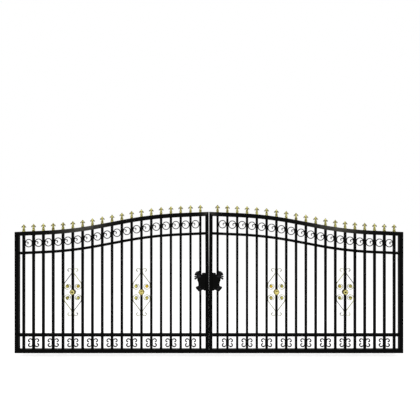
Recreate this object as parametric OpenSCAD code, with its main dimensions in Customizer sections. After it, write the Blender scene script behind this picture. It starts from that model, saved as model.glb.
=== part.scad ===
// Double swing driveway gate with an S-curved top, in millimetres, +Z up.
// The origin is on the post side of the left lower hinge plate, at its centre. The gate opens towards +Y.

/* [Leaf] */
// Width of one leaf over its stiles
leaf_w = 2434; // [2200:1:2800]
// Height of the top rail at the hinge end
hinge_h = 1519; // [1300:1:1750]
// Rise of the top rail from the hinge end to the meeting end
rise = 253; // [230:1:300]
// Gap between the closed leaves
leaf_gap = 6; // [6:0.5:20]
// Radius of the two bends in the top rail
sweep_r = 4850; // [4000:10:5500]
// Slope of the top rail at both ends, degrees
end_slope = 2.5; // [1.5:0.1:3]
// Slope of the top rail at mid leaf, degrees
mid_slope = 10.7; // [10:0.1:12]

/* [Frame and rails] */
// Side of the square frame tube
frame_s = 50; // [44:1:54]
// Width of the meeting stile's front face
meet_s = 44; // [40:1:50]
// Height of the inner rails
rail_t = 34; // [28:1:38]
// Distance from the top rail's top to the upper rail's top
upper_drop = 250; // [230:1:320]
// Height of the lower rail's underside
lower_z = 209; // [195:1:300]
// Straight pieces that make up one curved rail
rail_steps = 48; // [24:4:96]

/* [Pickets] */
// Number of pickets in a leaf
picket_count = 19; // [17:2:21]
// Side of a square picket
picket_s = 28; // [24:1:30]
// Clear space between each stile and its next picket
end_space = 41.5; // [38:0.5:80]
// Length of picket that stands above the top rail
picket_over = 12; // [8:1:20]

/* [Finials] */
// Height of a finial from the picket's head to its tip
finial_h = 88; // [76:1:100]
// Width across a finial's two side leaves
finial_w = 60; // [52:1:66]
// Radius of a finial's collar
collar_r = 19; // [17:0.5:21]

/* [Scrolls] */
// Depth of all scroll bars, front to back
bar_d = 12; // [10:1:16]
// Thickness of a ring scroll's bar
ring_t = 9; // [7:0.5:10]
// Distance from the top rail's top to a ring's centre
ring_drop = 147; // [130:1:165]
// Extra height of a ring over its width
ring_tall = 8; // [4:1:12]
// Radius of the hook inside a ring
hook_r = 15; // [12:0.5:18]
// Thickness of a base scroll's bar
base_t = 12; // [10:0.5:13]
// Thickness of a base scroll's back, where it lies along its picket
base_back = 5; // [4:0.5:8]
// Radius of a base scroll's two hooks
base_r = 22; // [19:0.5:24]
// Radius of the hooks' rolled-in ends
base_in = 14; // [12:0.5:15]
// Height of a hook's centre above the base scroll's middle
base_rise = 27; // [25:0.5:32]
// Height of a base scroll's centre
base_z = 126; // [118:1:134]

/* [Flower panels] */
// Height of a flower panel's centre
panel_z = 764; // [700:1:850]
// Thickness of a flower scroll's bar
flower_t = 8; // [6:0.5:9]
// Radius of a flower scroll's outer curl
curl_r = 22.5; // [18:0.5:25]
// Length of a flower scroll along the middle picket
neck_run = 30; // [20:1:40]
// Radius of the two bends in a flower scroll's slope
sway_r = 50; // [44:1:56]
// Length of a flower scroll along the side picket
side_run = 24; // [18:1:30]
// Radius of a flower scroll's curl round a rose
rose_curl = 38; // [34:1:42]
// Distance of each rose from the panel's middle, upwards and downwards
rose_z = 72; // [66:1:80]
// Radius of a rose
rose_r = 20; // [17:0.5:23]
// Radius of the centre rosette
rosette_r = 37; // [30:0.5:42]

/* [Lock plates] */
// Height of a lock plate's underside
lock_z = 776; // [740:1:850]
// Height of a lock plate at the meeting stile
lock_h = 226; // [200:1:250]
// Width of a lock plate at its waist
lock_w = 86; // [80:1:94]
// Radius of the leaf fan at a lock plate's upper corner
fan_r = 74; // [64:1:78]
// Thickness of a lock plate
lock_t = 8; // [6:0.5:9]

/* [Hinges] */
// Height of the lower hinge above the leaf's underside
hinge_low = 300; // [270:1:400]
// Height of the upper hinge above the leaf's underside
hinge_high = 1150; // [1000:1:1170]
// Distance of the hinge axis outside the stile
axis_out = 9; // [8:0.5:14]
// Distance of the hinge axis behind the stile
axis_back = 12; // [12:0.5:16]
// Radius of the hinge pin
pin_r = 6; // [5:0.5:7]
// Radial play between the pin and the leaf's knuckle
pin_play = 0.06; // [0.03:0.01:0.1]
// Radius of a hinge knuckle
knuckle_r = 10; // [9:0.5:10]
// Length of each hinge knuckle
knuckle_l = 48; // [40:1:60]
// Distance of the post plates behind the hinge axis
plate_back = 38; // [36:1:40]
// Thickness of the post plates
plate_t = 6; // [5:0.5:10]
// Width of the post plates
plate_w = 70; // [66:1:80]
// Height of the post plates
plate_h = 130; // [116:1:160]
// Radius of the bolt holes
bolt_r = 5.5; // [4:0.5:6.5]
// Bolt spacing across the post plate
bolt_y = 42; // [36:1:42]
// Bolt spacing up the post plate
bolt_z = 96; // [90:1:104]

/* [Hidden] */
$fn = 64;
black = [0.05, 0.05, 0.055];
gold = [0.72, 0.6, 0.3];
half = frame_s / 2;
eps = 1;
// Space left between turning faces
knuckle_gap = 0.5;
// Room between a leaf's knuckle and the post plate
plate_gap = 5;
leaf_x = plate_t + plate_gap + knuckle_r + axis_out;
axis_y = half + axis_back;
middle_x = leaf_x + leaf_w + leaf_gap / 2;

function snap(v) = round(v * 10) / 10;

// The top rail's line: two end straights, two bends and a middle straight
bend_run = sweep_r * (sin(mid_slope) - sin(end_slope));
bend_rise = sweep_r * (cos(end_slope) - cos(mid_slope));
run_left = leaf_w - 2 * bend_run;
rise_left = rise - 2 * bend_rise;
mid_run = (rise_left - run_left * tan(end_slope)) / (tan(mid_slope) - tan(end_slope));
end_run = (run_left - mid_run) / 2;
bend_z = hinge_h + end_run * tan(end_slope);
mid_z = bend_z + bend_rise;
turn_x = end_run + bend_run + mid_run;
turn_z = mid_z + mid_run * tan(mid_slope);

function root(x, c) = sqrt(sweep_r * sweep_r - (x - c) * (x - c));
function low_bend(x) = bend_z + sweep_r * cos(end_slope) - root(x, end_run - sweep_r * sin(end_slope));
function high_bend(x) = turn_z - sweep_r * cos(mid_slope) + root(x, turn_x + sweep_r * sin(mid_slope));
function top_z(x) =
  x < end_run ? hinge_h + x * tan(end_slope) :
  x < end_run + bend_run ? low_bend(x) :
  x < turn_x ? mid_z + (x - end_run - bend_run) * tan(mid_slope) :
  x < turn_x + bend_run ? high_bend(x) :
  turn_z + bend_rise + (x - turn_x - bend_run) * tan(end_slope);

// Picket places
pitch = (leaf_w - 2 * frame_s - 2 * end_space - picket_s) / (picket_count - 1);
function picket_x(i) = frame_s + end_space + picket_s / 2 + i * pitch;
function picket_top(i) = snap(top_z(picket_x(i)) + picket_over);
bay = pitch - picket_s;

// Scroll lines, all on the middle of the bar
ring_c = (bay - ring_t) / 2;
hook_in = 1;
hook_x = hook_in - ring_c + hook_r;
hook_z = hook_r / 3;
hook_run = hook_r / 2;
hook_from = -50;
hook_to = 90;
base_x = (picket_s + base_t) / 2;
panel_at = [5, 12];
touch_x = (picket_s + flower_t) / 2;
side_x = pitch - touch_x;
sway_run = side_x - touch_x;
sway_l = (sway_run - 0.4 * sway_r) / 0.6;
sway_low = rose_z + side_run;
sway_top = sway_low + (2 * sway_r + 4 * sway_run) / 3;
sway_angle = atan2(3, 4);
curl_z = sway_top + neck_run;
curl_r2 = 0.6 * curl_r;
curl_x = touch_x + 2 * curl_r - curl_r2;
rose_x = side_x - rose_curl;
rose_curl2 = 0.75 * rose_curl;
rose_curl3 = 0.375 * rose_curl;
web_l = 0.75 * knuckle_l;
web_w = 1.5 * knuckle_r;

// Frames of reference
module on_left() {
  translate([leaf_x, -axis_y - plate_back, -hinge_low])
    children();
}

module on_right() {
  translate([2 * middle_x, 0, 0])
    mirror([1, 0, 0])
      on_left()
        children();
}

// Solid of a flat outline drawn in X and Z, centred on the leaf's middle plane
module upright(depth) {
  rotate([90, 0, 0])
    linear_extrude(height = depth, center = true)
      children();
}

module at_pickets(first = 0, step = 1) {
  for (i = [first : step : picket_count - 1])
    translate([picket_x(i), 0, 0])
      children();
}

module picket_holes() {
  at_pickets()
    translate([-picket_s / 2, -picket_s / 2, frame_s + eps])
      cube([picket_s, picket_s, hinge_h + 2 * rise]);
}

// Frame
module hinge_stile() {
  upright(frame_s)
    polygon([[0, 0], [frame_s, frame_s], [frame_s, top_z(frame_s) - frame_s], [0, top_z(0)]]);
}

module meeting_stile() {
  inner = leaf_w - meet_s;
  upright(frame_s)
    polygon([[leaf_w, 0], [leaf_w, top_z(leaf_w)], [inner, top_z(inner) - frame_s], [inner, frame_s]]);
}

module bottom_rail() {
  upright(frame_s)
    polygon([[0, 0], [leaf_w, 0], [leaf_w - meet_s, frame_s], [frame_s, frame_s]]);
}

// Points of a line that runs a set drop below the top rail, from one X to another
function drop_line(from, to, drop) =
  [for (k = [0 : rail_steps]) let (x = from + (to - from) * k / rail_steps) [x, top_z(x) - drop]];

module top_rail() {
  inner = leaf_w - meet_s;
  difference() {
    upright(frame_s)
      polygon(concat(drop_line(0, leaf_w, 0), drop_line(inner, frame_s, frame_s)));
    picket_holes();
  }
}

module upper_rail() {
  inner = leaf_w - meet_s;
  difference() {
    upright(frame_s)
      polygon(concat(drop_line(frame_s, inner, upper_drop), drop_line(inner, frame_s, upper_drop + rail_t)));
    picket_holes();
  }
}

module lower_rail() {
  difference() {
    translate([frame_s, -half, lower_z])
      cube([leaf_w - frame_s - meet_s, frame_s, rail_t]);
    picket_holes();
  }
}

module pickets() {
  for (i = [0 : picket_count - 1])
    translate([picket_x(i) - picket_s / 2, -picket_s / 2, frame_s])
      cube([picket_s, picket_s, picket_top(i) - frame_s]);
}

// Finials: a turned socket, collar and stem, with a spear and two side leaves
module finial() {
  u = finial_h / 88;
  collar_z = 16 * u;
  stem_r = 11 * u;
  spear_z = 28 * u;
  belly_z = 60 * u;
  belly_r = 15 * u;
  leaf_z = 66 * u;
  leaf_t = 11 * u;
  leaf_d = 10 * u;
  leaf_r = (finial_w - leaf_t) / 4;
  rotate_extrude()
    polygon([
      [0, 0], [picket_s / 2, 0], [picket_s / 2, 5 * u], [stem_r, 8 * u], [stem_r, collar_z - 5 * u],
      [collar_r - 2, collar_z - 3 * u], [collar_r, collar_z], [collar_r - 2, collar_z + 3 * u],
      [stem_r + 2, collar_z + 6 * u], [stem_r, collar_z + 12 * u], [stem_r, belly_z - 12 * u], [0, belly_z - 12 * u]
    ]);
  polyhedron(
    points = [
      [0, 0, spear_z], [belly_r, 0, belly_z], [0, stem_r, belly_z],
      [-belly_r, 0, belly_z], [0, -stem_r, belly_z], [0, 0, finial_h]
    ],
    faces = [
      [0, 1, 2], [0, 2, 3], [0, 3, 4], [0, 4, 1], [5, 2, 1], [5, 3, 2], [5, 4, 3], [5, 1, 4]
    ]);
  for (s = [0, 1])
    mirror([s, 0, 0])
      translate([leaf_r, 0, leaf_z - leaf_r - leaf_t / 2])
        rotate([90, 0, 0])
          rotate_extrude(angle = 180)
            translate([leaf_r - leaf_t / 2, -leaf_d / 2])
              square([leaf_t, leaf_d]);
}

module finials() {
  for (i = [0 : picket_count - 1])
    translate([picket_x(i), 0, picket_top(i)])
      finial();
}

// Bent scroll bar of thickness t: an arc in X and Z about c, and a straight from p at an angle
module bend(c, r, from, sweep, t) {
  translate([c[0], 0, c[1]])
    rotate([90, 0, 0])
      rotate_extrude(angle = sweep, start = from)
        translate([r - t / 2, -bar_d / 2])
          square([t, bar_d]);
}

module straight(p, len, angle, t) {
  translate([p[0], 0, p[1]])
    rotate([0, -angle, 0])
      translate([0, -bar_d / 2, -t / 2])
        cube([len, bar_d, t]);
}

// The rolled end of a bar of thickness t, a drum across it at p
module rolled_end(p, t) {
  translate([p[0], bar_d / 2, p[1]])
    rotate([90, 0, 0])
      cylinder(r = 0.65 * t, h = bar_d);
}

// An arc cut back to a wedge, so that the pieces of a scroll meet on the same plane. Points are in radii.
module wedge_bend(c, r, from, sweep, points, t) {
  intersection() {
    bend(c, r, from, sweep, t);
    translate([c[0], 0, c[1]])
      upright(bar_d + 2 * eps)
        polygon([for (p = points) r * p]);
  }
}

module ring_scroll() {
  bend([0, ring_tall / 2], ring_c, 0, 180, ring_t);
  bend([0, -ring_tall / 2], ring_c, 180, 180, ring_t);
  for (side = [-1, 1])
    straight([side * ring_c, -ring_tall / 2], ring_tall, 90, ring_t);
  bend([hook_x, hook_z], hook_r, 90, 90, ring_t);
  straight([hook_x, hook_z + hook_r], hook_run, 0, ring_t);
  bend([hook_x + hook_run, hook_z], hook_r, hook_from, hook_to - hook_from, ring_t);
}

module ring_scrolls() {
  for (i = [0 : picket_count - 2])
    let (x = picket_x(i) + pitch / 2)
      translate([x, 0, snap(top_z(x) - ring_drop)])
        ring_scroll();
}

// A thin straight back along the picket, then a hook at each end that rolls in
module base_scroll() {
  end_x = base_x + 2 * base_r - base_in;
  straight([(picket_s + base_back) / 2, -base_rise], 2 * base_rise, 90, base_back);
  for (up = [0, 1])
    mirror([0, 0, up]) {
      bend([base_x + base_r, base_rise], base_r, 0, 180, base_t);
      bend([end_x, base_rise], base_in, 270, 90, base_t);
      rolled_end([end_x, base_rise - base_in], base_t);
    }
}

module base_scrolls() {
  at_pickets(1, 2)
    translate([0, 0, base_z])
      for (side = [0, 1])
        mirror([side, 0, 0])
          base_scroll();
}

// Flower panels: S scrolls from a small outer curl to a large curl behind a rose
module flower_scroll() {
  t = flower_t;
  bend([touch_x + curl_r, curl_z], curl_r, 0, 180, t);
  bend([curl_x, curl_z], curl_r2, 270, 90, t);
  rolled_end([curl_x, curl_z - curl_r2], t);
  straight([touch_x, sway_top], neck_run, 90, t);
  wedge_bend([touch_x + sway_r, sway_top], sway_r, 180, 60, [[0, 0], [-2, 0], [-2, -1.5]], t);
  straight([touch_x + 0.2 * sway_r, sway_top - 0.6 * sway_r], sway_l, sway_angle - 90, t);
  wedge_bend([side_x - sway_r, sway_low], sway_r, 0, 60, [[0, 0], [2, 0], [2, 1.5]], t);
  straight([side_x, rose_z], side_run, 90, t);
  bend([rose_x, rose_z], rose_curl, 180, 180, t);
  bend([rose_x - rose_curl + rose_curl2, rose_z], rose_curl2, 0, 180, t);
  bend([rose_x - rose_curl + 2 * rose_curl2 - rose_curl3, rose_z], rose_curl3, 180, 180, t);
}

module at_panels() {
  for (i = panel_at)
    translate([picket_x(i), 0, panel_z])
      children();
}

module four_ways() {
  for (side = [0, 1], up = [0, 1])
    mirror([side, 0, 0])
      mirror([0, 0, up])
        children();
}

module both_faces() {
  for (face = [0, 1])
    mirror([0, face, 0])
      children();
}

module flower_scrolls() {
  at_panels()
    four_ways()
      flower_scroll();
}

// Flower of round petals on a disc, its flat back at y = 0, facing -Y
module flower(r, petals) {
  petal_r = r * 0.4;
  rotate([90, 0, 0]) {
    linear_extrude(height = r * 0.15)
      for (k = [0 : petals - 1])
        rotate(k * 360 / petals)
          translate([r - petal_r, 0])
            circle(petal_r);
    cylinder(r = r * 0.62, h = r * 0.3);
    cylinder(r = r * 0.34, h = r * 0.45);
  }
}

module roses() {
  at_panels()
    four_ways()
      translate([rose_x, 0, rose_z])
        both_faces()
          translate([0, -bar_d / 2, 0])
            flower(rose_r, 6);
}

module rosettes() {
  at_panels()
    both_faces()
      translate([0, -picket_s / 2, 0])
        flower(rosette_r, 8);
}

// Lock plates: a cast plate on each face of the last picket, against the meeting stile.
// Its outline has a leaf fan at the upper corner, a hollow waist and a pointed leaf at the lower corner.
module fan(r, lobes) {
  lobe_r = 0.105 * r;
  for (k = [0 : lobes - 1])
    rotate(97 + 18 * k) {
      polygon([[0, -0.09 * r], [r - lobe_r, -lobe_r], [r - lobe_r, lobe_r], [0, 0.09 * r]]);
      translate([r - lobe_r, 0])
        circle(lobe_r);
    }
}

module lock_outline() {
  u = lock_h / 226;
  picket_mid = meet_s - frame_s - end_space - picket_s / 2;
  waist_r = 110 * u;
  difference() {
    translate([-lock_w - 14 * u, 20 * u])
      square([lock_w + 14 * u, 180 * u]);
    translate([-lock_w - waist_r, 84 * u])
      circle(waist_r);
  }
  translate([-31 * u, 190 * u])
    square([31 * u, 36 * u]);
  translate([-28 * u, 213 * u])
    circle(13 * u);
  translate([picket_mid - 5 * u, 186 * u])
    fan(fan_r, 7);
  translate([picket_mid - 7 * u, 28 * u])
    circle(28 * u);
  translate([picket_mid, 0])
    polygon([[-2, 78] * u, [-58, 56] * u, [-46, 32] * u, [-16, 6] * u]);
  intersection() {
    translate([-6 * u, 25 * u])
      circle(13 * u);
    translate([-40 * u, 0])
      square(40 * u);
  }
}

module lock_plates() {
  translate([leaf_w - meet_s, 0, lock_z])
    both_faces()
      translate([0, -(picket_s + lock_t) / 2, 0])
        upright(lock_t)
          lock_outline();
}

// Hinges, drawn about the hinge axis with z = 0 between the two knuckles
module at_hinge(height) {
  translate([-axis_out, axis_y, height])
    children();
}

module hinge_strap() {
  strap_t = axis_back - 4;
  difference() {
    union() {
      translate([0, 0, knuckle_gap])
        cylinder(r = knuckle_r, h = knuckle_l);
      translate([0, -axis_back, knuckle_gap])
        cube([axis_out + frame_s - 4, strap_t, knuckle_l]);
    }
    translate([0, 0, -eps])
      cylinder(r = pin_r + pin_play, h = knuckle_l + knuckle_gap + 2 * eps);
  }
}

module hinge_straps() {
  for (height = [hinge_low, hinge_high])
    at_hinge(height)
      hinge_strap();
}

module hinge_plate() {
  reach = knuckle_r + plate_gap;
  translate([0, 0, -knuckle_l])
    cylinder(r = knuckle_r, h = knuckle_l);
  translate([-reach, -knuckle_r / 2, -web_l])
    cube([reach, web_w, web_l]);
  translate([0, 0, -knuckle_l])
    cylinder(r = pin_r, h = 2 * (knuckle_l + knuckle_gap));
  translate([0, 0, knuckle_l + 2 * knuckle_gap])
    cylinder(r = knuckle_r - 1, h = 5);
  translate([0, plate_back, 0])
    difference() {
      translate([-reach - plate_t, -plate_w / 2, -plate_h / 2])
        cube([plate_t, plate_w, plate_h]);
      for (y = [-1, 1], z = [-1, 1])
        translate([-reach - plate_t - eps, y * bolt_y / 2, z * bolt_z / 2])
          rotate([0, 90, 0])
            cylinder(r = bolt_r, h = plate_t + 2 * eps);
    }
}

// Sub-parts
module left_upper_hinge_plate() { color(black) on_left() at_hinge(hinge_high) hinge_plate(); }
module left_lower_hinge_plate() { color(black) on_left() at_hinge(hinge_low) hinge_plate(); }
module right_upper_hinge_plate() { color(black) on_right() at_hinge(hinge_high) hinge_plate(); }
module right_lower_hinge_plate() { color(black) on_right() at_hinge(hinge_low) hinge_plate(); }
module left_hinge_stile() { color(black) on_left() hinge_stile(); }
module left_meeting_stile() { color(black) on_left() meeting_stile(); }
module left_top_rail() { color(black) on_left() top_rail(); }
module left_upper_rail() { color(black) on_left() upper_rail(); }
module left_lower_rail() { color(black) on_left() lower_rail(); }
module left_bottom_rail() { color(black) on_left() bottom_rail(); }
module left_pickets() { color(black) on_left() pickets(); }
module left_finials() { color(gold) on_left() finials(); }
module left_ring_scrolls() { color(black) on_left() ring_scrolls(); }
module left_base_scrolls() { color(black) on_left() base_scrolls(); }
module left_flower_scrolls() { color(black) on_left() flower_scrolls(); }
module left_roses() { color(gold) on_left() roses(); }
module left_rosettes() { color(gold) on_left() rosettes(); }
module left_lock_plates() { color(black) on_left() lock_plates(); }
module left_hinge_straps() { color(black) on_left() hinge_straps(); }
module right_hinge_stile() { color(black) on_right() hinge_stile(); }
module right_meeting_stile() { color(black) on_right() meeting_stile(); }
module right_top_rail() { color(black) on_right() top_rail(); }
module right_upper_rail() { color(black) on_right() upper_rail(); }
module right_lower_rail() { color(black) on_right() lower_rail(); }
module right_bottom_rail() { color(black) on_right() bottom_rail(); }
module right_pickets() { color(black) on_right() pickets(); }
module right_finials() { color(gold) on_right() finials(); }
module right_ring_scrolls() { color(black) on_right() ring_scrolls(); }
module right_base_scrolls() { color(black) on_right() base_scrolls(); }
module right_flower_scrolls() { color(black) on_right() flower_scrolls(); }
module right_roses() { color(gold) on_right() roses(); }
module right_rosettes() { color(gold) on_right() rosettes(); }
module right_lock_plates() { color(black) on_right() lock_plates(); }
module right_hinge_straps() { color(black) on_right() hinge_straps(); }

left_upper_hinge_plate();
left_lower_hinge_plate();
right_upper_hinge_plate();
right_lower_hinge_plate();
left_hinge_stile();
left_meeting_stile();
left_top_rail();
left_upper_rail();
left_lower_rail();
left_bottom_rail();
left_pickets();
left_finials();
left_ring_scrolls();
left_base_scrolls();
left_flower_scrolls();
left_roses();
left_rosettes();
left_lock_plates();
left_hinge_straps();
right_hinge_stile();
right_meeting_stile();
right_top_rail();
right_upper_rail();
right_lower_rail();
right_bottom_rail();
right_pickets();
right_finials();
right_ring_scrolls();
right_base_scrolls();
right_flower_scrolls();
right_roses();
right_rosettes();
right_lock_plates();
right_hinge_straps();
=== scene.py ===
"""Dress of a double swing driveway gate: its meshes, paints, floor, light and camera."""
import math

import bpy
import numpy as np
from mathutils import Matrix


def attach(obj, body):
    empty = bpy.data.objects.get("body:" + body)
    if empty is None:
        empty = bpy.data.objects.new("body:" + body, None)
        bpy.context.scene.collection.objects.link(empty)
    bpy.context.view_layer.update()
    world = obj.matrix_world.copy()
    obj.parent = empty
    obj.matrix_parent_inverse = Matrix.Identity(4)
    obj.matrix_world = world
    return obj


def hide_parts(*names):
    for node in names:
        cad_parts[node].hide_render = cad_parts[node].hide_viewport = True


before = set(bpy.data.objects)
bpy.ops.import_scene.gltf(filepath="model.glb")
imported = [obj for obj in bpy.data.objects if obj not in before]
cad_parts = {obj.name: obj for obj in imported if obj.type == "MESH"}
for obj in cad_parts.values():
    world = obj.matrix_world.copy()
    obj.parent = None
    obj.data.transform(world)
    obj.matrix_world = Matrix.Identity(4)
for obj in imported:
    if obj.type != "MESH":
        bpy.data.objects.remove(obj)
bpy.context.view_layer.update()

# Sizes of the part in millimetres, in the leaf's own frame: x from the hinge side, y to the back, z from the bottom
LEAF_W = 2434.0
LEAF_AT = (30.0, -75.0, -300.0)
MIDDLE_X = 2467.0
HINGE_H = 1519.0
RISE = 253.0
SWEEP_R = 4850.0
END_SLOPE = math.radians(2.5)
MID_SLOPE = math.radians(10.7)
FRAME_S = 50.0
MEET_S = 44.0
RAIL_T = 34.0
UPPER_DROP = 250.0
LOWER_Z = 209.0
PICKETS = 19
PICKET_S = 28.0
PITCH = 123.5
FIRST_X = 105.5
PICKET_OVER = 12.0
RING_T = 9.0
RING_C = 43.25
RING_TALL = 8.0
RING_DROP = 147.0
BAR_D = 12.0
BASE_T = 12.0
BASE_BACK = 5.0
BASE_R = 22.0
BASE_IN = 14.0
BASE_RISE = 27.0
BASE_Z = 126.0
BASE_X = 20.0
PANEL_Z = 764.0
PANEL_AT = (5, 12)
FLOWER_T = 8.0
ROSE_AT = (67.5, 72.0)
LOCK_Z = 776.0
LOCK_T = 8.0
SIDES = ("left", "right")
QUARTERS = ((1, 1), (-1, 1), (-1, -1), (1, -1))
MM = 0.001

# Where the dress departs from the solids, to look like the picture: the meeting stile's lean and its share at some
# heights, thicker bars, a thicker top rail, finials set lower and wider roses
LEAN = 2.9
LEAN_AT = ((718, 1), (1043, 0.83), (1620, 0))
PROUD = 1.2
CAP_OVER = 2.0
SPEAR_DROP = 5.0
ROSE_WIDER = 1.1

# How far a rail runs into the stiles, the steps along a rail, and the angle that shades as an edge
BITE = 2.0
RAIL_STEPS = 97
SHARP = math.radians(38)

# The top rail's line: two end straights, two bends and a middle straight
BEND_RUN = SWEEP_R * (math.sin(MID_SLOPE) - math.sin(END_SLOPE))
BEND_RISE = SWEEP_R * (math.cos(END_SLOPE) - math.cos(MID_SLOPE))
RUN_LEFT = LEAF_W - 2 * BEND_RUN
MID_RUN = (RISE - 2 * BEND_RISE - RUN_LEFT * math.tan(END_SLOPE)) / (math.tan(MID_SLOPE) - math.tan(END_SLOPE))
END_RUN = (RUN_LEFT - MID_RUN) / 2
BEND_Z = HINGE_H + END_RUN * math.tan(END_SLOPE)
TURN_X = END_RUN + BEND_RUN + MID_RUN
TURN_Z = BEND_Z + BEND_RISE + MID_RUN * math.tan(MID_SLOPE)


def top_z(x):
    """Height of the top rail's upper edge at x."""
    if x < END_RUN:
        return HINGE_H + x * math.tan(END_SLOPE)
    if x < END_RUN + BEND_RUN:
        c = END_RUN - SWEEP_R * math.sin(END_SLOPE)
        return BEND_Z + SWEEP_R * math.cos(END_SLOPE) - math.sqrt(SWEEP_R ** 2 - (x - c) ** 2)
    if x < TURN_X:
        return BEND_Z + BEND_RISE + (x - END_RUN - BEND_RUN) * math.tan(MID_SLOPE)
    if x < TURN_X + BEND_RUN:
        c = TURN_X + SWEEP_R * math.sin(MID_SLOPE)
        return TURN_Z - SWEEP_R * math.cos(MID_SLOPE) + math.sqrt(SWEEP_R ** 2 - (x - c) ** 2)
    return TURN_Z + BEND_RISE + (x - TURN_X - BEND_RUN) * math.tan(END_SLOPE)


def picket_x(i):
    """Middle of a picket, counted from the hinge side."""
    return FIRST_X + i * PITCH


def picket_top(i):
    """Head of a picket, a little above the top rail."""
    return round((top_z(picket_x(i)) + PICKET_OVER) * 10) / 10


def wave(*seeds):
    """A steady number from -1 to 1 for hand-made unevenness."""
    s = sum(v * k for v, k in zip(seeds, (12.9898, 78.233, 37.719, 4.581)))
    return 2 * ((math.sin(s) * 43758.5453) % 1.0) - 1


def volume(p, faces):
    """Six times the signed volume, whose sign tells which way the faces look."""
    v = 0.0
    for f in faces:
        a = p[f[0]]
        for j in range(1, len(f) - 1):
            v += float(np.dot(a, np.cross(p[f[j]], p[f[j + 1]])))
    return v


class Shape:
    """Points, faces and two paint values a point: gilt is gold over black, painted_light is painted shade in the
    hollows of gold pieces, a painted sheen on the top rail and a painted highlight on the lock castings' relief.
    """

    def __init__(self):
        self.points = []
        self.faces = []
        self.gilt = []
        self.painted_light = []
        self.count = 0

    def add(self, points, faces, gilt=0.0, painted_light=0.0, closed=True):
        """Take in a mesh; a closed one is turned so that its faces look outwards."""
        p = np.asarray(points, dtype=float)
        if closed and volume(p, faces) < 0:
            faces = [tuple(reversed(f)) for f in faces]
        n = len(p)
        self.faces.extend(tuple(i + self.count for i in f) for f in faces)
        self.points.append(p)
        self.gilt.append(np.broadcast_to(np.asarray(gilt, dtype=float), (n,)))
        self.painted_light.append(np.broadcast_to(np.asarray(painted_light, dtype=float), (n,)))
        self.count += n

    def join(self, other, turn=None, at=(0.0, 0.0, 0.0), gilt=None, painted_light=1.0):
        """Take in a turned and moved copy of another shape, with its gilt replaced and its painted light scaled."""
        p = np.concatenate(other.points)
        if turn is not None:
            p = p @ np.asarray(turn, dtype=float).T
        p = p + np.asarray(at, dtype=float)
        flip = turn is not None and np.linalg.det(np.asarray(turn, dtype=float)) < 0
        faces = [tuple(reversed(f)) for f in other.faces] if flip else other.faces
        g = np.concatenate(other.gilt) if gilt is None else gilt
        self.add(p, faces, g, painted_light * np.concatenate(other.painted_light), closed=False)


def make(name, shape, side, paint, nodes):
    """Turn a leaf-frame shape into an object that rides on its leaf."""
    p = np.concatenate(shape.points) + np.array(LEAF_AT)
    faces = shape.faces
    if side == "right":
        p[:, 0] = 2 * MIDDLE_X - p[:, 0]
        faces = [tuple(reversed(f)) for f in faces]
    mesh = bpy.data.meshes.new(f"{side}_{name}")
    mesh.from_pydata((p * MM).tolist(), [], faces)
    mesh.polygons.foreach_set("use_smooth", [True] * len(mesh.polygons))
    mesh.set_sharp_from_angle(angle=SHARP)
    # Each point keeps its gilt and its painted light: painted shade on gold pieces, painted sheen and highlights on
    # black ones
    for label, values in (("gilt", shape.gilt), ("painted_light", shape.painted_light)):
        field = mesh.attributes.new(label, "FLOAT", "POINT")
        field.data.foreach_set("value", np.concatenate(values).astype(np.float32))
    mesh.materials.append(paint)
    obj = bpy.data.objects.new(f"{side}_{name}", mesh)
    bpy.context.scene.collection.objects.link(obj)
    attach(obj, f"{side}_leaf")
    if nodes:
        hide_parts(*[f"{side}_{n}" for n in nodes])


# Sections and sweeps

def rounded(w, d, r, k):
    """Closed outline of a bar w across and d deep, with k steps round each edge of radius r."""
    out = []
    for cx, cy, a in ((1, 1, 0), (-1, 1, 90), (-1, -1, 180), (1, -1, 270)):
        for j in range(k + 1):
            t = math.radians(a + 90 * j / k)
            out.append((cx * (w / 2 - r) + r * math.cos(t), cy * (d / 2 - r) + r * math.sin(t)))
    return np.array(out)


def arc(cx, cz, r, start, end, step=7.5):
    """Points along an arc, with angles in degrees."""
    n = max(2, int(math.ceil(abs(end - start) / step)))
    a = np.radians(np.linspace(start, end, n + 1))
    return np.column_stack((cx + r * np.cos(a), cz + r * np.sin(a)))


def chain(*runs):
    """Join runs of points into one line, without repeats."""
    out = [np.asarray(runs[0][0], dtype=float)]
    for run in runs:
        for q in run:
            if np.linalg.norm(out[-1] - q) > 0.05:
                out.append(np.asarray(q, dtype=float))
    return np.array(out)


def grid_faces(rows, cols, wrap_rows=False):
    """Quads over rows of points, each row a closed ring."""
    out = []
    for i in range(rows if wrap_rows else rows - 1):
        for j in range(cols):
            a, b = i * cols + j, i * cols + (j + 1) % cols
            c, d = ((i + 1) % rows) * cols + (j + 1) % cols, ((i + 1) % rows) * cols + j
            out.append((a, b, c, d))
    return out


def capped(rows, cols):
    """The same with a face over each end."""
    first, last = tuple(range(cols)), tuple(range((rows - 1) * cols, rows * cols))
    return grid_faces(rows, cols) + [first[::-1], last]


# Rings of a domed end, from its tip inwards: how far out, in half widths, and how wide
END_RINGS = ((0.375, 0.65), (0.225, 0.83))


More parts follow.
